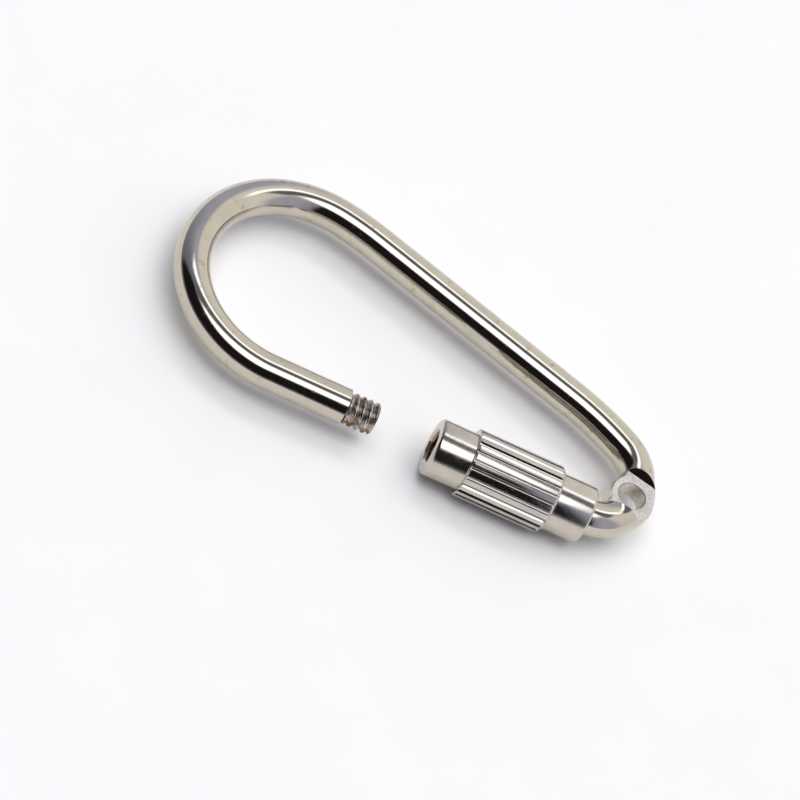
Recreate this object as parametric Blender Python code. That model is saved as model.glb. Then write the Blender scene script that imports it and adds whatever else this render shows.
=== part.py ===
"""Screw-lock carabiner keyring: one bent nickel-plated bar closed by a knurled screw sleeve.

The bar runs from a threaded tip, round the big bend, along the back, through the pierced
eye and ends in a straight arm. The sleeve slides and turns on that arm. Inside the sleeve a
stop collar riveted to the arm's end and a loose guide bush keep it from coming off.
The bar lies flat in the XY plane with its long axis along X, and +Z is up.
"""
import math

import bmesh
import bpy
from mathutils import Matrix, Vector

MM = 0.001

# Bar and its plan, in mm and degrees. Plan points are measured from the centre of the eye's hole.
BAR_RADIUS = 2.0
TAPER = 9.25  # the back and the gate each lean this much towards the long axis
GATE_FOOT = Vector((-40.83, -10.94))  # where the gate's straight run meets the big bend
BEND_ARCS = ((90.0, 11.65), (100.0, 12.5), (2 * TAPER - 10.0, 31.0))  # turn, radius; gate to back
NECK_POINT = Vector((-1.3, 5.62))  # on the short slanted run above the eye
NECK_HEADING = -23.0
HEEL_RADIUS = 33.0
CROOK_RADIUS = 5.2
TOE_RADIUS = 4.2  # between the eye and the arm

# Eye: the bar swells, is milled flat on both sides and pierced.
EYE_POINT = Vector((0.18, 0.0))  # where the bar's centreline crosses the hole
EYE_HEADING = -94.4
EYE_SWELL = 0.74  # added to the bar's radius
EYE_SWELL_REACH = 3.5
EYE_HOLE_RADIUS = 1.64
EYE_THICKNESS = 2.4
EYE_FLAT_LENGTH = 5.1
EYE_FLAT_SHIFT = 0.1  # the flats sit this far up the bar from the hole

# Screw thread, right-handed, shared by the tip and the sleeve.
THREAD_PITCH = 0.8
THREAD_RADIUS = 1.84
THREAD_DEPTH = 0.3
THREAD_LENGTH = 3.45
THREAD_CLEARANCE = 0.09
THREAD_CHAMFER = 0.15

# Sleeve, measured from its mouth.
SLEEVE_LENGTH = 18.6
COLLAR_RADIUS = 3.23
BAND_RADIUS = 3.84
BAND_START = 4.15
BAND_LENGTH = 10.2
BAND_FRONT_BEVEL = 0.25
BAND_REAR_BEVEL = 0.45
FLUTES = 23
FLUTE_DEPTH = 0.24
FLUTE_TURN = 5.3  # degrees from straight up to the first ridge's edge
MOUTH_RADIUS = 1.98
CHAMBER_START = 3.95
CHAMBER_RADIUS = 2.5
BUSH_SEAT_START = 16.0
BUSH_SEAT_RADIUS = 2.72
LIP_THICKNESS = 0.5
EDGE_ROUND = 0.4
GATE_GAP = 6.78  # open space between the tip and the sleeve's mouth

# Pieces inside the sleeve.
RUNNING_GAP = 0.06
REST_GAP = 0.25  # between the stop collar and the chamber's front wall when open
STOP_COLLAR_RADIUS = 2.4
STOP_COLLAR_LENGTH = 1.35
SPIGOT_RADIUS = 1.2
RIVET_RADIUS = 1.5
RIVET_DEPTH = 0.3
FIXED_GAP = 0.02

# Fineness of the faceted surfaces.
BAR_SIDES = 24
BORE_SIDES = 2 * FLUTES
BEND_STEP = 4.6  # degrees
EYE_STEP = 0.6
THREAD_STEPS = 6  # rings for each pitch


def heading_vector(degrees):
    return Vector((math.cos(math.radians(degrees)), math.sin(math.radians(degrees))))


def left_of(direction):
    return Vector((-direction.y, direction.x))


def crossing(point_a, heading_a, point_b, heading_b):
    """Where two lines of the plan meet."""
    along_a = heading_vector(heading_a)
    along_b = heading_vector(heading_b)
    reach = (point_b - point_a).cross(along_b) / along_a.cross(along_b)
    return point_a + reach * along_a


def arc(start, heading, radius, turn, steps):
    """Stations (point, heading) along a right-hand arc, with its start and its end."""
    centre = start - radius * left_of(heading_vector(heading))
    stations = []
    for i in range(steps + 1):
        now = heading - turn * i / steps
        stations.append((centre + radius * left_of(heading_vector(now)), now))
    return stations


def fillet(corner, heading_in, heading_out, radius, steps):
    """The right-hand arc that rounds a corner of the plan."""
    turn = heading_in - heading_out
    setback = radius * math.tan(math.radians(turn / 2))
    return arc(corner - setback * heading_vector(heading_in), heading_in, radius, turn, steps)


def big_bend():
    """Stations from the gate's straight run round to the back's."""
    stations = [(GATE_FOOT, GATE_HEADING + 360.0)]
    for turn, radius in BEND_ARCS:
        point, heading = stations.pop()
        stations += arc(point, heading, radius, turn, math.ceil(turn / BEND_STEP))
    return stations


def eye_bends(bend_end):
    """Stations from the back's straight run through the eye to the arm."""
    back_point, back_heading = bend_end
    heel = crossing(back_point, back_heading, NECK_POINT, NECK_HEADING)
    crook = crossing(NECK_POINT, NECK_HEADING, EYE_POINT, EYE_HEADING)
    stations = fillet(heel, back_heading, NECK_HEADING, HEEL_RADIUS, 4)
    stations += fillet(crook, NECK_HEADING, EYE_HEADING, CROOK_RADIUS, 11)
    toe_bend = fillet(TOE, EYE_HEADING, GATE_HEADING, TOE_RADIUS, 12)
    above, below = stations[-1][0], toe_bend[0][0]
    eye_steps = math.ceil((below - above).length / EYE_STEP)
    for i in range(1, eye_steps):
        stations.append((above.lerp(below, i / eye_steps), EYE_HEADING))
    return stations + toe_bend


GATE_HEADING = -180.0 + TAPER
GATE_AXIS = heading_vector(GATE_HEADING)
TOE = crossing(EYE_POINT, EYE_HEADING, GATE_FOOT, GATE_HEADING)
BEND = big_bend()
COURSE = BEND + eye_bends(BEND[-1])

# Places along the gate's axis, as distances from the end of the toe's bend.
TOE_END = COURSE[-1][0]
MOUTH_FACE = SLEEVE_LENGTH
TIP_END = MOUTH_FACE + GATE_GAP
TIP_SHOULDER = TIP_END + THREAD_LENGTH
ARM_END = MOUTH_FACE - CHAMBER_START - REST_GAP

# The whole object stands on its band, with the origin below the middle of its outline.
COURSE_X = [point.x for point, heading in COURSE]
COURSE_Y = [point.y for point, heading in COURSE]
OUTLINE_LEFT = min(COURSE_X) - BAR_RADIUS
OUTLINE_RIGHT = EYE_POINT.x + BAR_RADIUS + EYE_SWELL
OUTLINE_MIDDLE = Vector(((OUTLINE_LEFT + OUTLINE_RIGHT) / 2, (min(COURSE_Y) + max(COURSE_Y)) / 2))


def world(plan_point, height=0.0):
    """A plan point in mm as a position in metres."""
    flat = plan_point - OUTLINE_MIDDLE
    return Vector((flat.x, flat.y, BAND_RADIUS + height)) * MM


def thread_wave(place, angle):
    """Height of the right-hand thread between root (0) and crest (1)."""
    return 0.5 + 0.5 * math.cos(2 * math.pi * place / THREAD_PITCH - angle)


def ring(bm, centre, across, up, radii):
    """A closed loop of points round a centre, counted right-handed about up x across."""
    loop = []
    for i, radius in enumerate(radii):
        angle = 2 * math.pi * i / len(radii)
        loop.append(bm.verts.new(centre + (math.cos(angle) * up + math.sin(angle) * across) * radius * MM))
    return loop


def stitch(bm, first, second):
    """Join two rings with faces; the finer ring has a whole multiple of the coarser one's points."""
    coarse, fine = sorted((first, second), key=len)
    ratio = len(fine) // len(coarse)
    for i in range(len(coarse)):
        j = (i + 1) % len(coarse)
        fan = [fine[(i * ratio + k) % len(fine)] for k in range(ratio + 1)]
        if ratio == 1:
            bm.faces.new((coarse[i], coarse[j], fan[1], fan[0]))
            continue
        middle = ratio // 2
        for k in range(ratio):
            bm.faces.new((fan[k], fan[k + 1], coarse[i] if k < middle else coarse[j]))
        bm.faces.new((coarse[i], coarse[j], fan[middle]))


def material(name, colour, roughness):
    mat = bpy.data.materials.new(name)
    mat.use_nodes = True
    shader = mat.node_tree.nodes["Principled BSDF"]
    shader.inputs["Base Color"].default_value = (*colour, 1.0)
    shader.inputs["Metallic"].default_value = 1.0
    shader.inputs["Roughness"].default_value = roughness
    return mat


def finish(name, bm, mat):
    """Turn a bmesh into a shaded object of the scene."""
    bmesh.ops.recalc_face_normals(bm, faces=bm.faces)
    mesh = bpy.data.meshes.new(name)
    bm.to_mesh(mesh)
    bm.free()
    mesh.shade_smooth()
    mesh.set_sharp_from_angle(angle=math.radians(35))
    obj = bpy.data.objects.new(name, mesh)
    obj.data.materials.append(mat)
    bpy.context.collection.objects.link(obj)
    return obj


def cutter(obj):
    obj.hide_render = True
    obj.display_type = "WIRE"
    return obj


def cut(target, tool):
    change = target.modifiers.new(tool.name, "BOOLEAN")
    change.operation = "DIFFERENCE"
    change.object = tool


def gate_station(distance):
    """A station on the gate's axis, so far beyond the toe's bend."""
    return (TOE_END + distance * GATE_AXIS, GATE_HEADING)


def tip_sections():
    """The threaded tip from its end to its shoulder, as (station, radii) pairs."""
    sections = []
    count = math.ceil(THREAD_LENGTH / THREAD_PITCH * THREAD_STEPS)
    root = THREAD_RADIUS - THREAD_DEPTH
    for i in range(count + 1):
        from_end = THREAD_LENGTH * i / count
        chamfer = THREAD_RADIUS - THREAD_CHAMFER + from_end
        radii = []
        for k in range(BAR_SIDES):
            wave = thread_wave(TIP_END + from_end, 2 * math.pi * k / BAR_SIDES)
            radii.append(min(root + THREAD_DEPTH * wave, chamfer))
        sections.append((gate_station(TIP_END + from_end), radii))
    return sections


def arm_sections():
    """The arm's end inside the sleeve: its spigot and the rivet head that holds the stop collar."""
    collar_back = ARM_END - STOP_COLLAR_LENGTH - FIXED_GAP
    rivet_back = ARM_END - RIVET_DEPTH + FIXED_GAP
    steps = (
        (collar_back, BAR_RADIUS),
        (collar_back, SPIGOT_RADIUS),
        (rivet_back, SPIGOT_RADIUS),
        (rivet_back, RIVET_RADIUS),
        (ARM_END, RIVET_RADIUS),
    )
    return [(gate_station(place), [radius] * BAR_SIDES) for place, radius in steps]


def bar_sections():
    """The whole bar from tip to arm end."""
    sections = tip_sections()
    sections.append((gate_station(TIP_SHOULDER), [BAR_RADIUS] * BAR_SIDES))
    for station in COURSE:
        sections.append((station, [swollen_radius(station[0])] * BAR_SIDES))
    return sections + arm_sections()


def swollen_radius(point):
    """The bar's radius, which grows to a ball-shaped swelling round the eye."""
    distance = (point - EYE_POINT).length
    if distance >= EYE_SWELL_REACH:
        return BAR_RADIUS
    return BAR_RADIUS + EYE_SWELL * math.cos(math.pi / 2 * distance / EYE_SWELL_REACH) ** 2


def build_bow(mat):
    """The bent bar: threaded tip, bend, back, pierced eye and arm in one piece."""
    bm = bmesh.new()
    up = Vector((0, 0, 1))
    previous = None
    for (point, heading), radii in bar_sections():
        along = heading_vector(heading).to_3d()
        loop = ring(bm, world(point), along.cross(up), up, radii)
        if previous:
            stitch(bm, previous, loop)
        else:
            bm.faces.new(loop)
        previous = loop
    bm.faces.new(previous)
    bow = finish("bow", bm, mat)
    for side in (1, -1):
        cut(bow, eye_flat_cutter(side, mat))
    cut(bow, eye_hole_cutter(mat))
    return bow


def eye_flat_cutter(side, mat):
    """A block that mills one face of the eye; side is 1 above the bar and -1 below it."""
    width = 4 * BAR_RADIUS
    depth = 2 * BAR_RADIUS
    bm = bmesh.new()
    size = Matrix.Diagonal(Vector((EYE_FLAT_LENGTH, width, depth)) * MM).to_4x4()
    bmesh.ops.create_cube(bm, size=1.0, matrix=size)
    block = cutter(finish("eye_flat_top" if side > 0 else "eye_flat_bottom", bm, mat))
    middle = EYE_POINT - EYE_FLAT_SHIFT * heading_vector(EYE_HEADING)
    block.location = world(middle, side * (EYE_THICKNESS + depth) / 2)
    block.rotation_euler.z = math.radians(EYE_HEADING)
    return block


def eye_hole_cutter(mat):
    bm = bmesh.new()
    bmesh.ops.create_cone(
        bm,
        cap_ends=True,
        segments=32,
        radius1=EYE_HOLE_RADIUS * MM,
        radius2=EYE_HOLE_RADIUS * MM,
        depth=3 * EYE_THICKNESS * MM,
    )
    drill = cutter(finish("eye_hole", bm, mat))
    drill.location = world(Vector((0, 0)))
    return drill


def turned(name, outline, mat):
    """A ring-shaped piece about local Z from a closed outline of (place, radii) pairs."""
    bm = bmesh.new()
    up = Vector((1, 0, 0))
    across = Vector((0, 1, 0))
    loops = [ring(bm, Vector((0, 0, place * MM)), across, up, radii) for place, radii in outline]
    for i, loop in enumerate(loops):
        stitch(bm, loop, loops[(i + 1) % len(loops)])
    return finish(name, bm, mat)


def round_corner(place, radius, size, towards, steps=3):
    """Points of a quarter round from an end face (first) to the outside of a turned piece."""
    points = []
    for i in range(steps + 1):
        angle = math.pi / 2 * i / steps
        points.append((place + towards * size * (1 - math.sin(angle)), radius - size * (1 - math.cos(angle))))
    return points[::-1]


def fluted(crest_radius, depth):
    """Radii round the band: two points on each flat crest, two down in each groove."""
    radii = []
    for _ in range(FLUTES):
        radii += [crest_radius, crest_radius, crest_radius - depth, crest_radius - depth]
    return radii


def sleeve_outline():
    """The sleeve's section as a closed run of rings: outside from mouth to rear, then the bore."""
    collar = [COLLAR_RADIUS] * BORE_SIDES
    band_end = BAND_START + BAND_LENGTH
    outline = []
    for place, radius in round_corner(0.0, COLLAR_RADIUS, EDGE_ROUND, 1):
        outline.append((place, [radius] * BORE_SIDES))
    outline.append((BAND_START, collar))
    outline.append((BAND_START, fluted(BAND_RADIUS - BAND_FRONT_BEVEL, 0.0)))
    outline.append((BAND_START + BAND_FRONT_BEVEL, fluted(BAND_RADIUS, FLUTE_DEPTH)))
    outline.append((band_end - BAND_REAR_BEVEL, fluted(BAND_RADIUS, FLUTE_DEPTH)))
    outline.append((band_end, fluted(BAND_RADIUS - BAND_REAR_BEVEL, 0.0)))
    outline.append((band_end, collar))
    for place, radius in round_corner(SLEEVE_LENGTH, COLLAR_RADIUS, EDGE_ROUND, -1)[::-1]:
        outline.append((place, [radius] * BORE_SIDES))
    # Rear lip, seat of the guide bush and the long chamber.
    lip = BAR_RADIUS + 2 * RUNNING_GAP
    bore = (
        (SLEEVE_LENGTH, lip),
        (SLEEVE_LENGTH - LIP_THICKNESS, lip),
        (SLEEVE_LENGTH - LIP_THICKNESS, BUSH_SEAT_RADIUS),
        (BUSH_SEAT_START, BUSH_SEAT_RADIUS),
        (BUSH_SEAT_START, CHAMBER_RADIUS),
        (CHAMBER_START, CHAMBER_RADIUS),
    )
    outline += [(place, [radius] * BORE_SIDES) for place, radius in bore]
    # Thread, cut to match the tip's, and the countersunk mouth.
    count = math.ceil(CHAMBER_START / THREAD_PITCH * THREAD_STEPS)
    crest = THREAD_RADIUS - THREAD_DEPTH + THREAD_CLEARANCE
    for i in range(count, -1, -1):
        place = CHAMBER_START * i / count
        countersink = MOUTH_RADIUS - place
        radii = []
        for k in range(FLUTES):
            angle = 2 * math.pi * k / FLUTES + math.radians(FLUTE_TURN)
            wave = thread_wave(MOUTH_FACE - place, -angle)
            radii.append(max(crest + THREAD_DEPTH * wave, countersink))
        outline.append((place, radii))
    return outline


def lay_on_gate(obj, place, turn=0.0):
    """Put a turned piece on the gate's axis: its local Z points from the tip back to the arm."""
    along = -GATE_AXIS.to_3d()
    up = Vector((0, 0, 1))
    across = along.cross(up)
    axes = Matrix((up, across, along)).transposed()
    spin = Matrix.Rotation(math.radians(turn), 4, "Z")
    obj.matrix_world = Matrix.Translation(world(gate_station(place)[0])) @ axes.to_4x4() @ spin


def build_sleeve(mat):
    """The nut that closes the gate: collar, knurled band, collar, with a stepped bore."""
    sleeve = turned("sleeve", sleeve_outline(), mat)
    lay_on_gate(sleeve, MOUTH_FACE, FLUTE_TURN)
    return sleeve


def build_guide_bush(mat):
    """Loose ring in the sleeve's rear that runs on the arm; the sleeve turns round it."""
    inner = [BAR_RADIUS + RUNNING_GAP] * BORE_SIDES
    outer = [BUSH_SEAT_RADIUS - RUNNING_GAP] * BORE_SIDES
    front = BUSH_SEAT_START + RUNNING_GAP
    back = SLEEVE_LENGTH - LIP_THICKNESS - RUNNING_GAP
    bush = turned("guide_bush", [(front, outer), (back, outer), (back, inner), (front, inner)], mat)
    lay_on_gate(bush, MOUTH_FACE)
    return bush


def build_stop_collar(mat):
    """Collar riveted on the arm's spigot; the guide bush cannot pass it."""
    outer = [STOP_COLLAR_RADIUS] * BAR_SIDES
    spigot_hole = [SPIGOT_RADIUS + FIXED_GAP] * BAR_SIDES
    rivet_seat = [RIVET_RADIUS + FIXED_GAP] * BAR_SIDES
    section = [
        (0.0, outer),
        (STOP_COLLAR_LENGTH, outer),
        (STOP_COLLAR_LENGTH, spigot_hole),
        (RIVET_DEPTH, spigot_hole),
        (RIVET_DEPTH, rivet_seat),
        (0.0, rivet_seat),
    ]
    collar = turned("stop_collar", section, mat)
    lay_on_gate(collar, ARM_END)
    return collar


def main():
    for obj in list(bpy.data.objects):
        bpy.data.objects.remove(obj, do_unlink=True)
    build_bow(material("bow_nickel", (0.78, 0.74, 0.68), 0.12))
    build_sleeve(material("sleeve_nickel", (0.76, 0.73, 0.68), 0.22))
    build_guide_bush(material("bush_brass", (0.62, 0.52, 0.32), 0.4))
    build_stop_collar(material("stop_collar_steel", (0.60, 0.58, 0.55), 0.35))


main()
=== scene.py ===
"""Looks of the screw-lock carabiner keyring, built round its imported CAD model.

Plan points are in mm from near the centre of the eye's hole, as the design gives them, and
world() puts them in the model's frame. Each piece replaces one CAD node with a finer mesh. Some
outer radii are up to 0.011 mm under the CAD's, so that the finer meshes stay inside its box.
"""

import math

import bmesh
import bpy
from mathutils import Euler, Matrix, Vector

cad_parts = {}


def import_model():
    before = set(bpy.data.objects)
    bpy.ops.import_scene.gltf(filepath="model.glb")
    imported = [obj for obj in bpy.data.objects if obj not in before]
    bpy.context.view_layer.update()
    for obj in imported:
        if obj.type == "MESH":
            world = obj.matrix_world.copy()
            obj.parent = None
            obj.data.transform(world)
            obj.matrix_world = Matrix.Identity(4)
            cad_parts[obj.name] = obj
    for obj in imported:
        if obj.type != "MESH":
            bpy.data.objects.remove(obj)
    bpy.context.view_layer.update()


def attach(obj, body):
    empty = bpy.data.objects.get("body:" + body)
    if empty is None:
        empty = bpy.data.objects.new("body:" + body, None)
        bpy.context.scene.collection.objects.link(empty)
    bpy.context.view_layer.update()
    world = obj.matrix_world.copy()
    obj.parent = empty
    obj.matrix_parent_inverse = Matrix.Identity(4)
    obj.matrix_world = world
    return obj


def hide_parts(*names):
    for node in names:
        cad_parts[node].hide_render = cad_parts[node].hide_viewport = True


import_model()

MM = 0.001

# Bar and its plan, in mm and degrees.
BAR_RADIUS = 1.996
TAPER = 9.25
GATE_FOOT = Vector((-40.83, -10.94))
BEND_ARCS = ((90.0, 11.65), (100.0, 12.5), (2 * TAPER - 10.0, 31.0))
NECK_POINT = Vector((-1.3, 5.62))
NECK_HEADING = -23.0
HEEL_RADIUS = 33.0
CROOK_RADIUS = 5.2
TOE_RADIUS = 4.2

# Eye.
EYE_POINT = Vector((0.18, 0.0))
EYE_HEADING = -94.4
EYE_SWELL = 0.735
EYE_SWELL_REACH = 3.5
EYE_HOLE_RADIUS = 1.64
EYE_HOLE_BREAK = 0.08  # rounded edge of the hole
EYE_THICKNESS = 2.4
EYE_FLAT_LENGTH = 5.1
EYE_FLAT_SHIFT = 0.1
EYE_STEP_SLOPE = 37.0  # of the milled step above the eye, from upright; the CAD's is upright

# Screw thread.
THREAD_PITCH = 0.8
THREAD_RADIUS = 1.84
THREAD_DEPTH = 0.3
THREAD_LENGTH = 3.45
THREAD_CLEARANCE = 0.09
THREAD_CHAMFER = 0.22
THREAD_RUNOUT = 0.5
CREST_POWER = 0.75  # below 1 the thread's crests are broad and its roots narrow
SHOULDER_BREAK = 0.08

# Sleeve, measured from its mouth.
SLEEVE_LENGTH = 18.6
COLLAR_RADIUS = 3.23
BAND_RADIUS = 3.829
AXIS_HEIGHT = 3.84  # of the bar above the floor
BAND_START = 4.15
BAND_LENGTH = 10.2
BAND_FRONT_BEVEL = 0.25
BAND_REAR_BEVEL = 0.45
RIDGES = 23
RIDGE_DEPTH = 0.24
RIDGE_TOP = 0.5  # share of each ridge's pitch that is its top; the groove beside it is hollow
RIDGE_TURN = 7.26  # degrees from straight up to the middle of the first ridge
MOUTH_RADIUS = 1.98
MOUTH_RELIEF = 0.1  # widening of the mouth's countersink at its face
MOUTH_BRIGHT_DEPTH = 0.15  # how far the outside's finish reaches into the mouth
CHAMBER_START = 3.95
CHAMBER_RADIUS = 2.5
BUSH_SEAT_START = 16.0
BUSH_SEAT_RADIUS = 2.72
LIP_THICKNESS = 0.5
MOUTH_ROUND = 0.42
REAR_ROUND = 0.35
GATE_GAP = 6.78

# Pieces inside the sleeve.
RUNNING_GAP = 0.06
REST_GAP = 0.25
STOP_COLLAR_RADIUS = 2.4
STOP_COLLAR_LENGTH = 1.35
SPIGOT_RADIUS = 1.2
RIVET_RADIUS = 1.5
RIVET_DEPTH = 0.3
FIXED_GAP = 0.02
SMALL_CHAMFER = 0.12

# Fineness of the meshes.
BAR_SIDES = 96
RIDGE_POINTS = 20  # points round one ridge and its groove
SLEEVE_SIDES = RIDGES * RIDGE_POINTS
BEND_STEP = 1.6
EYE_STEP = 0.15
THREAD_STEPS = 16  # rings for each pitch of the tip's thread
BORE_THREAD_STEPS = 11.2  # rings for each pitch of the sleeve's thread
SHARP_ANGLE = 32.0  # degrees between faces above which an edge is shown sharp
ROUND_STEPS = 5


# ---------------------------------------------------------------- plan of the bar


def heading_vector(degrees):
    return Vector((math.cos(math.radians(degrees)), math.sin(math.radians(degrees))))


def left_of(direction):
    return Vector((-direction.y, direction.x))


def crossing(point_a, heading_a, point_b, heading_b):
    """Where two lines of the plan meet."""
    along_a = heading_vector(heading_a)
    along_b = heading_vector(heading_b)
    reach = (point_b - point_a).cross(along_b) / along_a.cross(along_b)
    return point_a + reach * along_a


def arc(start, heading, radius, turn, steps):
    """Stations (point, heading) along a right-hand arc."""
    centre = start - radius * left_of(heading_vector(heading))
    stations = []
    for i in range(steps + 1):
        now = heading - turn * i / steps
        stations.append((centre + radius * left_of(heading_vector(now)), now))
    return stations


def fillet(corner, heading_in, heading_out, radius, step):
    """The right-hand arc that rounds a corner of the plan."""
    turn = heading_in - heading_out
    setback = radius * math.tan(math.radians(turn / 2))
    start = corner - setback * heading_vector(heading_in)
    return arc(start, heading_in, radius, turn, math.ceil(turn / step))


def big_bend():
    stations = [(GATE_FOOT, GATE_HEADING + 360.0)]
    for turn, radius in BEND_ARCS:
        point, heading = stations.pop()
        stations += arc(point, heading, radius, turn, math.ceil(turn / BEND_STEP))
    return stations


def eye_bends(bend_end):
    back_point, back_heading = bend_end
    heel = crossing(back_point, back_heading, NECK_POINT, NECK_HEADING)
    crook = crossing(NECK_POINT, NECK_HEADING, EYE_POINT, EYE_HEADING)
    stations = fillet(heel, back_heading, NECK_HEADING, HEEL_RADIUS, BEND_STEP)
    stations += fillet(crook, NECK_HEADING, EYE_HEADING, CROOK_RADIUS, BEND_STEP)
    toe_bend = fillet(TOE, EYE_HEADING, GATE_HEADING, TOE_RADIUS, BEND_STEP)
    above, below = stations[-1][0], toe_bend[0][0]
    eye_steps = math.ceil((below - above).length / EYE_STEP)
    for i in range(1, eye_steps):
        stations.append((above.lerp(below, i / eye_steps), EYE_HEADING))
    return stations + toe_bend


GATE_HEADING = -180.0 + TAPER
GATE_AXIS = heading_vector(GATE_HEADING)
TOE = crossing(EYE_POINT, EYE_HEADING, GATE_FOOT, GATE_HEADING)
BEND = big_bend()
COURSE = BEND + eye_bends(BEND[-1])

# Places along the gate's axis, from the end of the toe's bend towards the tip.
TOE_END = COURSE[-1][0]
MOUTH_FACE = SLEEVE_LENGTH
TIP_END = MOUTH_FACE + GATE_GAP
TIP_SHOULDER = TIP_END + THREAD_LENGTH
ARM_END = MOUTH_FACE - CHAMBER_START - REST_GAP

# Middle of the CAD outline in plan.
OUTLINE_MIDDLE = Vector((-26.722, 1.051))


def world(plan_point, height=0.0):
    flat = plan_point - OUTLINE_MIDDLE
    return Vector((flat.x, flat.y, AXIS_HEIGHT + height)) * MM


def gate_station(distance):
    return (TOE_END + distance * GATE_AXIS, GATE_HEADING)


# ---------------------------------------------------------------- mesh tools


def ease(value):
    """Smooth step from 0 to 1."""
    value = min(max(value, 0.0), 1.0)
    return value * value * (3 - 2 * value)


def thread_wave(place, angle):
    """Height of the rounded right-hand thread between root (0) and crest (1)."""
    wave = 0.5 + 0.5 * math.cos(2 * math.pi * place / THREAD_PITCH - angle)
    return wave**CREST_POWER


def ring(bm, centre, across, up, radii):
    """A loop of points round centre, starting upwards, at the given radii in mm."""
    loop = []
    for i, radius in enumerate(radii):
        angle = 2 * math.pi * i / len(radii)
        outward = math.cos(angle) * up + math.sin(angle) * across
        loop.append(bm.verts.new(centre + outward * radius * MM))
    return loop


def level_ring(bm, place, radii):
    """A loop of points round the Z axis, place mm along it."""
    return ring(bm, Vector((0, 0, place * MM)), Vector((0, 1, 0)), Vector((1, 0, 0)), radii)


def join(bm, first, second, slot):
    for i in range(len(first)):
        j = (i + 1) % len(first)
        face = bm.faces.new((first[i], first[j], second[j], second[i]))
        face.material_index = slot


def link_mesh(name, bm, materials):
    bmesh.ops.recalc_face_normals(bm, faces=bm.faces)
    mesh = bpy.data.meshes.new(name)
    bm.to_mesh(mesh)
    bm.free()
    obj = bpy.data.objects.new(name, mesh)
    for mat in materials:
        mesh.materials.append(mat)
    bpy.context.scene.collection.objects.link(obj)
    return obj


def shade(obj):
    obj.data.shade_smooth()
    obj.data.set_sharp_from_angle(angle=math.radians(SHARP_ANGLE))


def carve(obj, tools):
    """Cut the tools out of obj for good, and remove them."""
    for tool in tools:
        change = obj.modifiers.new(tool.name, "BOOLEAN")
        change.operation = "DIFFERENCE"
        change.material_mode = "TRANSFER"
        change.object = tool
    bpy.context.view_layer.update()
    graph = bpy.context.evaluated_depsgraph_get()
    carved = bpy.data.meshes.new_from_object(obj.evaluated_get(graph))
    obj.modifiers.clear()
    obj.data = carved
    for tool in tools:
        bpy.data.objects.remove(tool, do_unlink=True)


# ---------------------------------------------------------------- shader tools


class Graph:
    """A node tree with short calls: add() makes a node and fills or links its inputs."""

    def __init__(self, tree):
        self.tree = tree
        self.tree.nodes.clear()

    def add(self, kind, inputs=None, **settings):
        node = self.tree.nodes.new(kind)
        for key, value in settings.items():
            setattr(node, key, value)
        for key, value in (inputs or {}).items():
            if isinstance(value, bpy.types.NodeSocket):
                self.tree.links.new(value, node.inputs[key])
            else:
                node.inputs[key].default_value = value
        return node

    def math(self, operation, first, second=0.0):
        return self.add("ShaderNodeMath", {0: first, 1: second}, operation=operation).outputs[0]

    def ramp(self, value, low, high, start=0.0, end=1.0):
        """Smooth change from start to end while value goes from low to high."""
        inputs = {"Value": value, "From Min": low, "From Max": high, "To Min": start, "To Max": end}
        return self.add("ShaderNodeMapRange", inputs, interpolation_type="SMOOTHSTEP").outputs[0]

    def mix(self, factor, first, second):
        inputs = {"Factor": factor, "A": first, "B": second}
        node = self.tree.nodes.new("ShaderNodeMix")
        node.data_type = "RGBA"
        for socket, key in ((0, "Factor"), (6, "A"), (7, "B")):
            value = inputs[key]
            if isinstance(value, bpy.types.NodeSocket):
                self.tree.links.new(value, node.inputs[socket])
            else:
                node.inputs[socket].default_value = value
        return node.outputs[2]

    def noise(self, vector, scale, detail=3.0):
        inputs = {"Vector": vector, "Scale": scale, "Detail": detail}
        return self.add("ShaderNodeTexNoise", inputs).outputs[0]

    def in_mm(self, stretch=(1.0, 1.0, 1.0)):
        """Object coordinates in mm, each divided by its part of stretch."""
        place = self.add("ShaderNodeTexCoord").outputs["Object"]
        scale = tuple(1 / (MM * part) for part in stretch)
        return self.add("ShaderNodeMapping", {"Vector": place, "Scale": scale}).outputs[0]


def colour(red, green, blue):
    return (red, green, blue, 1.0)


# Sizes of the wear patterns, as features for each mm, and the colours of its marks.
BLOTCHES = 0.45
CLOUDS = 2.3
MOTTLES = 4.2
SPECKS = 11.0
SCRATCHES = 2.2
PIT_CELLS = 1.5
STAINS = 1.0
SCRATCH_STRETCH = (9.0, 0.35, 0.35)
MOTTLE_COLOUR = colour(0.30, 0.28, 0.25)
PIT_COLOUR = colour(0.12, 0.09, 0.06)
BUMP_STRENGTH = 0.35
BUMP_DEPTH = 0.012  # mm


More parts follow.
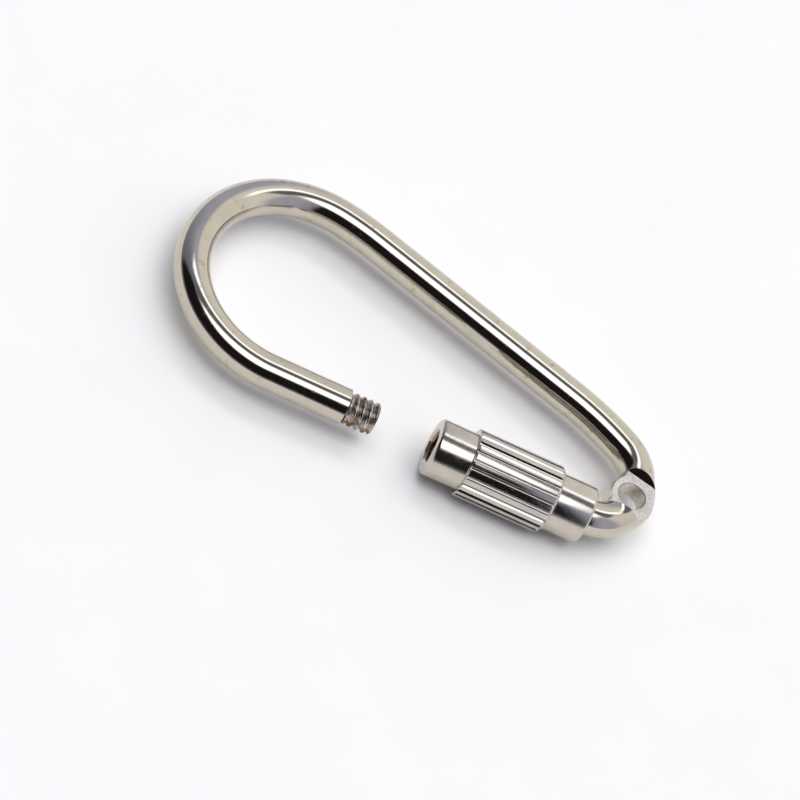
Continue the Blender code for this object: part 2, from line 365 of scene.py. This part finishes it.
def metal(name, pale, dark, roughness, scratch, grain, pit, stain_and_shade=None, rarity=0.5, painted_shade_below=0.0):
    """Metal with blotchy colour, fine scratches along X, grain, sparse pits and, if asked, stains.

    The stain is two colours; a higher rarity leaves fewer spots, and the last argument spreads them onto
    faces turned down, a painted shade on the undersides.
    """
    mat = bpy.data.materials.new(name)
    mat.use_nodes = True
    g = Graph(mat.node_tree)
    place = g.in_mm()
    blotch = g.noise(place, BLOTCHES)
    cloud = g.noise(place, CLOUDS, 5.0)
    specks = g.noise(place, SPECKS, 2.0)
    mottle = g.ramp(g.noise(place, MOTTLES, 3.0), 0.5, 0.66)
    lines = g.noise(g.in_mm(SCRATCH_STRETCH), SCRATCHES, 4.0)
    hairs = g.ramp(lines, 0.62, 0.74)
    cells = g.add("ShaderNodeTexVoronoi", {"Vector": place, "Scale": PIT_CELLS}).outputs["Distance"]
    pits = g.math("MULTIPLY", g.ramp(cells, 0.11, 0.04), g.ramp(cloud, 0.5, 0.62))
    tone = g.mix(g.ramp(blotch, 0.35, 0.68), pale, dark)
    tone = g.mix(g.math("MULTIPLY", mottle, 0.3 * grain), tone, MOTTLE_COLOUR)
    tone = g.mix(g.math("MULTIPLY", pits, 0.6 * pit), tone, PIT_COLOUR)
    rough = g.ramp(cloud, 0.3, 0.7, 0.75 * roughness, 1.3 * roughness)
    rough = g.math("ADD", rough, g.math("MULTIPLY", hairs, 0.25 * scratch))
    if stain_and_shade:
        normal = g.add("ShaderNodeNewGeometry").outputs["Normal"]
        upward = g.add("ShaderNodeSeparateXYZ", {"Vector": normal}).outputs[2]
        patches = g.noise(place, STAINS, 6.0)
        # Stains spread onto faces turned down in the scene: real stains, plus a painted shade on the
        # undersides.
        stains_and_under_shade = g.math("SUBTRACT", patches, g.math("MULTIPLY", upward, painted_shade_below))
        stain_and_shade_cover = g.ramp(stains_and_under_shade, rarity - 0.09, rarity + 0.14)
        tone = g.mix(stain_and_shade_cover, tone, g.mix(g.ramp(specks, 0.4, 0.6), *stain_and_shade))
        rough = g.math("ADD", rough, g.math("MULTIPLY", stain_and_shade_cover, 0.25))
    height = g.math("MULTIPLY", specks, grain)
    height = g.math("ADD", height, g.math("MULTIPLY", hairs, -scratch))
    height = g.math("ADD", height, g.math("MULTIPLY", pits, -pit))
    bump_inputs = {"Strength": BUMP_STRENGTH, "Distance": BUMP_DEPTH * MM, "Height": height}
    bump = g.add("ShaderNodeBump", bump_inputs)
    shader = g.add(
        "ShaderNodeBsdfPrincipled",
        {"Base Color": tone, "Roughness": rough, "Metallic": 1.0, "Normal": bump.outputs[0]},
    )
    g.add("ShaderNodeOutputMaterial", {"Surface": shader.outputs[0]})
    return mat


def bow_materials():
    tarnish_and_under_shade = (colour(0.30, 0.21, 0.09), colour(0.50, 0.43, 0.26))
    rust_and_under_shade = (colour(0.11, 0.05, 0.022), colour(0.27, 0.165, 0.06))
    polished = metal(
        "bow_nickel",
        colour(0.60, 0.552, 0.455),
        colour(0.555, 0.512, 0.43),
        roughness=0.075,
        scratch=0.35,
        grain=0.16,
        pit=1.4,
        stain_and_shade=tarnish_and_under_shade,
        rarity=0.66,
        # Tarnish spreads slightly onto faces turned down: real tarnish, plus a faint painted shade
        # underneath.
        painted_shade_below=0.03,
    )
    thread = metal(
        "tip_thread",
        colour(0.56, 0.52, 0.47),
        colour(0.38, 0.34, 0.29),
        roughness=0.24,
        scratch=0.2,
        grain=0.4,
        pit=0.4,
        stain_and_shade=rust_and_under_shade,
        rarity=0.465,
        # Rust spreads onto faces turned down: real rust, plus a painted shade on the thread's
        # undersides.
        painted_shade_below=0.16,
    )
    milled = metal(
        "eye_flat",
        colour(0.75, 0.715, 0.68),
        colour(0.62, 0.585, 0.545),
        roughness=0.38,
        scratch=0.6,
        grain=1.5,
        pit=0.9,
    )
    bore = metal(
        "eye_bore",
        colour(0.74, 0.69, 0.60),
        colour(0.52, 0.475, 0.40),
        roughness=0.24,
        scratch=0.9,
        grain=0.9,
        pit=0.8,
    )
    return polished, thread, milled, bore


def sleeve_materials():
    gold = (colour(0.16, 0.08, 0.03), colour(0.52, 0.36, 0.14))
    turned_face = metal(
        "sleeve_nickel",
        colour(0.60, 0.552, 0.47),
        colour(0.555, 0.51, 0.445),
        roughness=0.15,
        scratch=0.35,
        grain=0.4,
        pit=1.4,
    )
    ridges = metal(
        "sleeve_ridges",
        colour(0.62, 0.575, 0.51),
        colour(0.55, 0.51, 0.46),
        roughness=0.11,
        scratch=0.4,
        grain=0.5,
        pit=0.9,
    )
    bore = metal(
        "sleeve_bore",
        colour(0.34, 0.27, 0.19),
        colour(0.20, 0.15, 0.10),
        roughness=0.28,
        scratch=0.3,
        grain=0.6,
        pit=0.4,
        stain_and_shade=gold,
        rarity=0.5,
    )
    return turned_face, ridges, bore


# ---------------------------------------------------------------- bow

POLISHED, THREADED, MILLED, BORED = range(4)


def swollen_radius(point):
    """Radius of the bar, which swells round the eye."""
    distance = (point - EYE_POINT).length
    if distance >= EYE_SWELL_REACH:
        return BAR_RADIUS
    return BAR_RADIUS + EYE_SWELL * math.cos(math.pi / 2 * distance / EYE_SWELL_REACH) ** 2


def tip_sections():
    """The threaded tip: chamfered end, rounded thread that runs out, and the bar's shoulder."""
    sections = []
    count = math.ceil(THREAD_LENGTH / THREAD_PITCH * THREAD_STEPS)
    root = THREAD_RADIUS - THREAD_DEPTH
    for i in range(count + 1):
        from_end = THREAD_LENGTH * i / count
        chamfer = THREAD_RADIUS - THREAD_CHAMFER + from_end
        fade = ease((THREAD_LENGTH - from_end) / THREAD_RUNOUT)
        radii = []
        for k in range(BAR_SIDES):
            wave = thread_wave(TIP_END + from_end, 2 * math.pi * k / BAR_SIDES)
            radii.append(min(root + THREAD_DEPTH * wave * fade, chamfer))
        sections.append((gate_station(TIP_END + from_end), radii, THREADED))
    shoulder = ((0.0, BAR_RADIUS - SHOULDER_BREAK, THREADED), (SHOULDER_BREAK, BAR_RADIUS, POLISHED))
    for back, radius, slot in shoulder:
        sections.append((gate_station(TIP_SHOULDER + back), [radius] * BAR_SIDES, slot))
    return sections


def arm_sections():
    """The spigot and rivet head at the arm's end."""
    collar_back = ARM_END - STOP_COLLAR_LENGTH - FIXED_GAP
    rivet_back = ARM_END - RIVET_DEPTH + FIXED_GAP
    steps = (
        (collar_back - SMALL_CHAMFER, BAR_RADIUS),
        (collar_back, BAR_RADIUS - SMALL_CHAMFER),
        (collar_back, SPIGOT_RADIUS),
        (rivet_back, SPIGOT_RADIUS),
        (rivet_back, RIVET_RADIUS),
        (ARM_END - SMALL_CHAMFER, RIVET_RADIUS),
        (ARM_END, RIVET_RADIUS - SMALL_CHAMFER),
    )
    return [(gate_station(place), [radius] * BAR_SIDES, POLISHED) for place, radius in steps]


def mill(materials, side):
    """A block that mills one face of the eye (side 1 above, -1 below) and leaves a sloped step."""
    depth = 2 * BAR_RADIUS
    size = Matrix.Diagonal(Vector((EYE_FLAT_LENGTH, 4 * BAR_RADIUS, depth)) * MM).to_4x4()
    slope = depth * math.tan(math.radians(EYE_STEP_SLOPE)) * MM
    bm = bmesh.new()
    bmesh.ops.create_cube(bm, size=1.0, matrix=size)
    for vert in bm.verts:
        if vert.co.x < 0 and vert.co.z * side > 0:
            vert.co.x -= slope
    block = link_mesh("mill", bm, [materials[MILLED], materials[POLISHED]])
    for face in block.data.polygons:
        level = abs(face.normal.z) > 0.9
        face.material_index = 0 if level else 1
    middle = EYE_POINT - EYE_FLAT_SHIFT * heading_vector(EYE_HEADING)
    block.location = world(middle, side * (EYE_THICKNESS + depth) / 2)
    block.rotation_euler.z = math.radians(EYE_HEADING)
    return block


def drill_outline():
    """The drill as (place, radius): straight, with a rounded shoulder at each face of the eye."""
    half = EYE_THICKNESS / 2
    shoulder = []
    for i in range(ROUND_STEPS + 1):
        turn = math.pi / 2 * i / ROUND_STEPS
        place = half - EYE_HOLE_BREAK * (1 - math.sin(turn))
        shoulder.append((place, EYE_HOLE_RADIUS + EYE_HOLE_BREAK * (1 - math.cos(turn))))
    shoulder.append((2 * half, shoulder[-1][1]))
    return [(-place, radius) for place, radius in shoulder[::-1]] + shoulder


def drill(materials):
    bm = bmesh.new()
    previous = None
    for place, radius in drill_outline():
        loop = level_ring(bm, place, [radius] * BAR_SIDES)
        if previous:
            join(bm, previous, loop, 0)
        else:
            bm.faces.new(loop)
        previous = loop
    bm.faces.new(previous)
    tool = link_mesh("drill", bm, [materials[BORED]])
    tool.location = world(Vector((0, 0)))
    return tool


def build_bow():
    """One mesh swept from the threaded tip round the bends and the eye to the rivet head."""
    materials = bow_materials()
    sections = tip_sections()
    sections += [(station, [swollen_radius(station[0])] * BAR_SIDES, POLISHED) for station in COURSE]
    sections += arm_sections()
    bm = bmesh.new()
    up = Vector((0, 0, 1))
    previous = None
    for (point, heading), radii, slot in sections:
        along = heading_vector(heading).to_3d()
        loop = ring(bm, world(point), along.cross(up), up, radii)
        if previous:
            join(bm, previous, loop, slot)
        else:
            bm.faces.new(loop).material_index = THREADED
        previous = loop
    bm.faces.new(previous)
    bow = link_mesh("bow_bar", bm, materials)
    carve(bow, [mill(materials, 1), mill(materials, -1), drill(materials)])
    shade(bow)
    return bow


# ---------------------------------------------------------------- sleeve and inner pieces

TURNED, RIDGED, INSIDE = range(3)


def quarter_round(place, radius, size, towards):
    """Points from the end face to the outside, round a convex corner at place."""
    points = []
    for i in range(ROUND_STEPS + 1):
        turn = math.pi / 2 * i / ROUND_STEPS
        across = radius - size * (1 - math.sin(turn))
        points.append((place + towards * size * (1 - math.cos(turn)), across))
    return points


def ridge_shape(k):
    """1 on a ridge's top and 0 at the bottom of its hollow groove, for the k-th point round the band."""
    turn = abs((k / RIDGE_POINTS + 0.5) % 1.0 - 0.5)  # 0 in the middle of the top, 0.5 in the groove
    into_groove = max(turn - RIDGE_TOP / 2, 0.0) / (0.5 - RIDGE_TOP / 2)
    return 1.0 - math.sin(math.pi / 2 * into_groove)


def band_radii(top):
    """Radii round the band where its ridges reach top; the grooves are RIDGE_DEPTH deep at most."""
    groove = BAND_RADIUS - RIDGE_DEPTH
    low = min(groove, top)
    return [low + (top - low) * ridge_shape(k) for k in range(SLEEVE_SIDES)]


def sleeve_outline():
    """Rings of the sleeve as (place, radii, slot): outside from mouth to rear, then the bore."""
    outline = []

    def plain(place, radius, slot=TURNED):
        outline.append((place, [radius] * SLEEVE_SIDES, slot))

    band_end = BAND_START + BAND_LENGTH
    for place, radius in quarter_round(0.0, COLLAR_RADIUS, MOUTH_ROUND, 1):
        plain(place, radius)
    plain(BAND_START - SMALL_CHAMFER / 2, COLLAR_RADIUS)
    plain(BAND_START, COLLAR_RADIUS + SMALL_CHAMFER / 2)
    for place, radius in quarter_round(BAND_START, BAND_RADIUS, BAND_FRONT_BEVEL, 1):
        outline.append((place, band_radii(radius), RIDGED))
    for place, radius in quarter_round(band_end, BAND_RADIUS, BAND_REAR_BEVEL, -1)[::-1]:
        outline.append((place, band_radii(radius), RIDGED))
    plain(band_end, COLLAR_RADIUS + SMALL_CHAMFER / 2)
    plain(band_end + SMALL_CHAMFER / 2, COLLAR_RADIUS)
    for place, radius in quarter_round(SLEEVE_LENGTH, COLLAR_RADIUS, REAR_ROUND, -1)[::-1]:
        plain(place, radius)
    lip = BAR_RADIUS + 2 * RUNNING_GAP
    seat_back = SLEEVE_LENGTH - LIP_THICKNESS
    plain(SLEEVE_LENGTH, lip + SMALL_CHAMFER)
    plain(SLEEVE_LENGTH - SMALL_CHAMFER, lip)
    plain(seat_back, lip)
    plain(seat_back, BUSH_SEAT_RADIUS, INSIDE)
    plain(BUSH_SEAT_START, BUSH_SEAT_RADIUS, INSIDE)
    plain(BUSH_SEAT_START, CHAMBER_RADIUS, INSIDE)
    plain(CHAMBER_START, CHAMBER_RADIUS, INSIDE)
    count = math.ceil(CHAMBER_START / THREAD_PITCH * BORE_THREAD_STEPS)
    crest = THREAD_RADIUS - THREAD_DEPTH + THREAD_CLEARANCE
    for i in range(count, -1, -1):
        place = CHAMBER_START * i / count
        countersink = MOUTH_RADIUS + MOUTH_RELIEF - place
        radii = []
        for k in range(SLEEVE_SIDES):
            angle = 2 * math.pi * k / SLEEVE_SIDES + math.radians(RIDGE_TURN)
            wave = thread_wave(MOUTH_FACE - place, -angle)
            radii.append(max(crest + THREAD_DEPTH * wave, countersink))
        outline.append((place, radii, INSIDE if place > MOUTH_BRIGHT_DEPTH else TURNED))
    return outline


def turned(name, outline, materials, place, turn=0.0):
    """A ring-shaped piece on the gate's axis; the outline runs from place towards the arm."""
    bm = bmesh.new()
    loops = []
    for along, radii, slot in outline:
        loops.append(level_ring(bm, along, radii))
    for i, loop in enumerate(loops):
        following = (i + 1) % len(loops)
        join(bm, loop, loops[following], outline[following][2])
    piece = link_mesh(name, bm, materials)
    along = -GATE_AXIS.to_3d()
    up = Vector((0, 0, 1))
    axes = Matrix((up, along.cross(up), along)).transposed().to_4x4()
    spin = Matrix.Rotation(math.radians(turn), 4, "Z")
    place_on_axis = Matrix.Translation(world(gate_station(place)[0]))
    piece.data.transform(place_on_axis @ axes @ spin)
    shade(piece)
    return piece


def chamfered(front, back, inner, outer):
    """Section of a plain ring with small chamfers on its outer edges."""
    points = (
        (front, outer - SMALL_CHAMFER),
        (front + SMALL_CHAMFER, outer),
        (back - SMALL_CHAMFER, outer),
        (back, outer - SMALL_CHAMFER),
        (back, inner),
        (front, inner),
    )
    return [(place, [radius] * BAR_SIDES, 0) for place, radius in points]


def build_guide_bush():
    pale = colour(0.56, 0.42, 0.20)
    dark = colour(0.40, 0.29, 0.13)
    brass = metal("bush_brass", pale, dark, roughness=0.3, scratch=0.5, grain=0.4, pit=0.3)
    front = BUSH_SEAT_START + RUNNING_GAP
    back = SLEEVE_LENGTH - LIP_THICKNESS - RUNNING_GAP
    section = chamfered(front, back, BAR_RADIUS + RUNNING_GAP, BUSH_SEAT_RADIUS - RUNNING_GAP)
    return turned("guide_ring", section, [brass], MOUTH_FACE)


def build_stop_collar():
    pale = colour(0.48, 0.46, 0.43)
    dark = colour(0.36, 0.34, 0.31)
    steel = metal("stop_collar_steel", pale, dark, roughness=0.3, scratch=0.5, grain=0.4, pit=0.3)
    section = chamfered(0.0, STOP_COLLAR_LENGTH, SPIGOT_RADIUS + FIXED_GAP, STOP_COLLAR_RADIUS)
    seat = RIVET_RADIUS + FIXED_GAP
    section.pop()
    for place, radius in ((RIVET_DEPTH, SPIGOT_RADIUS + FIXED_GAP), (RIVET_DEPTH, seat), (0.0, seat)):
        section.append((place, [radius] * BAR_SIDES, 0))
    return turned("stop_ring", section, [steel], ARM_END)


# ---------------------------------------------------------------- floor, light and camera

FLOOR_HALF = 1.5  # m
FLOOR_FIBRES = 0.08  # for each mm
FLOOR_BUMP = 0.05  # mm

# The light tent. Azimuths are in degrees from +X towards +Y, and each pair says where a zone's edge
# begins and ends: as a cosine from its azimuth, or as the x, y or z of the direction.
PALE_WALL_AZIMUTH = 42.0
DIM_TO_GREY = (-0.6, 0.4)
GREY_TO_PALE = (0.50, 0.80)
OPENING_AZIMUTH = -124.5
OPENING_SIDES = (0.30, 0.45)
OPENING_FOOT = (0.10, 0.17)
OPENING_HEAD = (0.76, 0.85)
OVERHEAD = (0.82, 0.88)
PANEL_EDGE_Y = (-0.10, 0.05)
PANEL_EDGE_X = (0.28, 0.5)
GAP_FAR_EDGE = (0.28, 0.40)
STRIP_NEAR_EDGE = (0.33, 0.40)
STRIP_FAR_EDGE = (0.46, 0.55)
STRIP_FOOT = (0.78, 0.84)

FILL_SIZE = 0.9  # m
FILL_ENERGY = 3.6  # W
FILL_PLACE = (0.0, 0.1, 0.8)  # m

SENSOR_WIDTH = 36.0  # mm
LENS = 232.48  # mm
CAMERA_PLACE = (-49.13, -365.05, 420.70)  # mm
CAMERA_TURN = (34.624, -23.532, 22.296)  # degrees


def build_floor():
    bm = bmesh.new()
    bmesh.ops.create_grid(bm, x_segments=8, y_segments=8, size=FLOOR_HALF)
    mat = bpy.data.materials.new("pale_floor")
    mat.use_nodes = True
    g = Graph(mat.node_tree)
    fibre = g.noise(g.in_mm(), FLOOR_FIBRES, 4.0)
    tone = g.mix(g.ramp(fibre, 0.3, 0.7), colour(0.90, 0.895, 0.885), colour(0.885, 0.88, 0.87))
    bump = g.add("ShaderNodeBump", {"Strength": 0.05, "Distance": FLOOR_BUMP * MM, "Height": fibre})
    shader = g.add(
        "ShaderNodeBsdfPrincipled",
        {"Base Color": tone, "Roughness": 0.8, "Normal": bump.outputs[0]},
    )
    g.add("ShaderNodeOutputMaterial", {"Surface": shader.outputs[0]})
    floor = link_mesh("floor", bm, [mat])


def side_facing(g, x, y, flat, azimuth):
    """Cosine of the angle between a direction and an azimuth, seen from above."""
    part = g.math("MULTIPLY", x, math.cos(math.radians(azimuth)))
    part = g.math("ADD", part, g.math("MULTIPLY", y, math.sin(math.radians(azimuth))))
    return g.math("DIVIDE", part, flat)


def build_tent():
    """Soft studio surroundings: pale walls, a dark opening on the gate's side, a panel and a strip."""
    scene = bpy.context.scene
    scene.world = bpy.data.worlds.new("light_tent")
    scene.world.use_nodes = True
    g = Graph(scene.world.node_tree)
    direction = g.add("ShaderNodeTexCoord").outputs["Generated"]
    x, y, z = g.add("ShaderNodeSeparateXYZ", {"Vector": direction}).outputs
    flat = g.math("SQRT", g.math("MAXIMUM", g.math("SUBTRACT", 1.0, g.math("MULTIPLY", z, z)), 0.0001))
    far_side = side_facing(g, x, y, flat, PALE_WALL_AZIMUTH)
    dim = colour(0.20, 0.22, 0.29)
    grey = colour(0.50, 0.53, 0.70)
    tone = g.mix(g.ramp(far_side, *DIM_TO_GREY), dim, grey)
    tone = g.mix(g.ramp(far_side, *GREY_TO_PALE), tone, colour(0.96, 0.95, 0.93))
    opening = g.ramp(side_facing(g, x, y, flat, OPENING_AZIMUTH), *OPENING_SIDES)
    opening = g.math("MULTIPLY", opening, g.ramp(z, *OPENING_FOOT))
    opening = g.math("MULTIPLY", opening, g.ramp(z, *OPENING_HEAD, 1.0, 0.0))
    tone = g.mix(opening, tone, colour(0.015, 0.012, 0.013))
    overhead = g.ramp(z, *OVERHEAD)
    panel = g.math("MULTIPLY", overhead, g.ramp(y, *PANEL_EDGE_Y, 1.0, 0.0))
    panel = g.math("MULTIPLY", panel, g.ramp(x, *PANEL_EDGE_X, 1.0, 0.0))
    gap = g.math("MULTIPLY", overhead, g.ramp(y, *PANEL_EDGE_Y))
    gap = g.math("MULTIPLY", gap, g.ramp(y, *GAP_FAR_EDGE, 1.0, 0.0))
    strip = g.math("MULTIPLY", g.ramp(y, *STRIP_NEAR_EDGE), g.ramp(y, *STRIP_FAR_EDGE, 1.0, 0.0))
    strip = g.math("MULTIPLY", strip, g.ramp(z, *STRIP_FOOT))
    tone = g.mix(gap, tone, colour(0.17, 0.18, 0.22))
    tone = g.mix(panel, tone, colour(2.45, 2.50, 2.65))
    tone = g.mix(strip, tone, colour(2.10, 2.15, 2.35))
    light = g.add("ShaderNodeBackground", {"Color": tone, "Strength": 1.0})
    g.add("ShaderNodeOutputWorld", {"Surface": light.outputs[0]})


def build_fill():
    """A large soft light from above for the floor; the metal does not mirror it."""
    lamp = bpy.data.lights.new("floor_fill", "AREA")
    lamp.size = FILL_SIZE
    lamp.energy = FILL_ENERGY
    lamp.color = (1.0, 0.965, 0.905)
    fill = bpy.data.objects.new("floor_fill", lamp)
    fill.location = FILL_PLACE
    fill.visible_glossy = False
    bpy.context.scene.collection.objects.link(fill)


def build_camera():
    data = bpy.data.cameras.new("camera")
    data.sensor_width = SENSOR_WIDTH
    data.lens = LENS
    data.clip_start = 0.01
    camera = bpy.data.objects.new("camera", data)
    camera.location = Vector(CAMERA_PLACE) * MM
    camera.rotation_euler = Euler([math.radians(angle) for angle in CAMERA_TURN])
    bpy.context.scene.collection.objects.link(camera)
    bpy.context.scene.camera = camera


# ---------------------------------------------------------------- the scene


def main():
    bow = build_bow()
    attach(bow, "bow")
    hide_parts("bow")
    sleeve = turned("screw_sleeve", sleeve_outline(), sleeve_materials(), MOUTH_FACE, RIDGE_TURN)
    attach(sleeve, "sleeve")
    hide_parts("sleeve")
    bush = build_guide_bush()
    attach(bush, "guide")
    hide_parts("guide_bush")
    collar = build_stop_collar()
    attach(collar, "bow")
    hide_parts("stop_collar")
    build_floor()
    build_tent()
    build_fill()
    build_camera()
    bpy.context.scene.view_settings.view_transform = "Standard"


main()
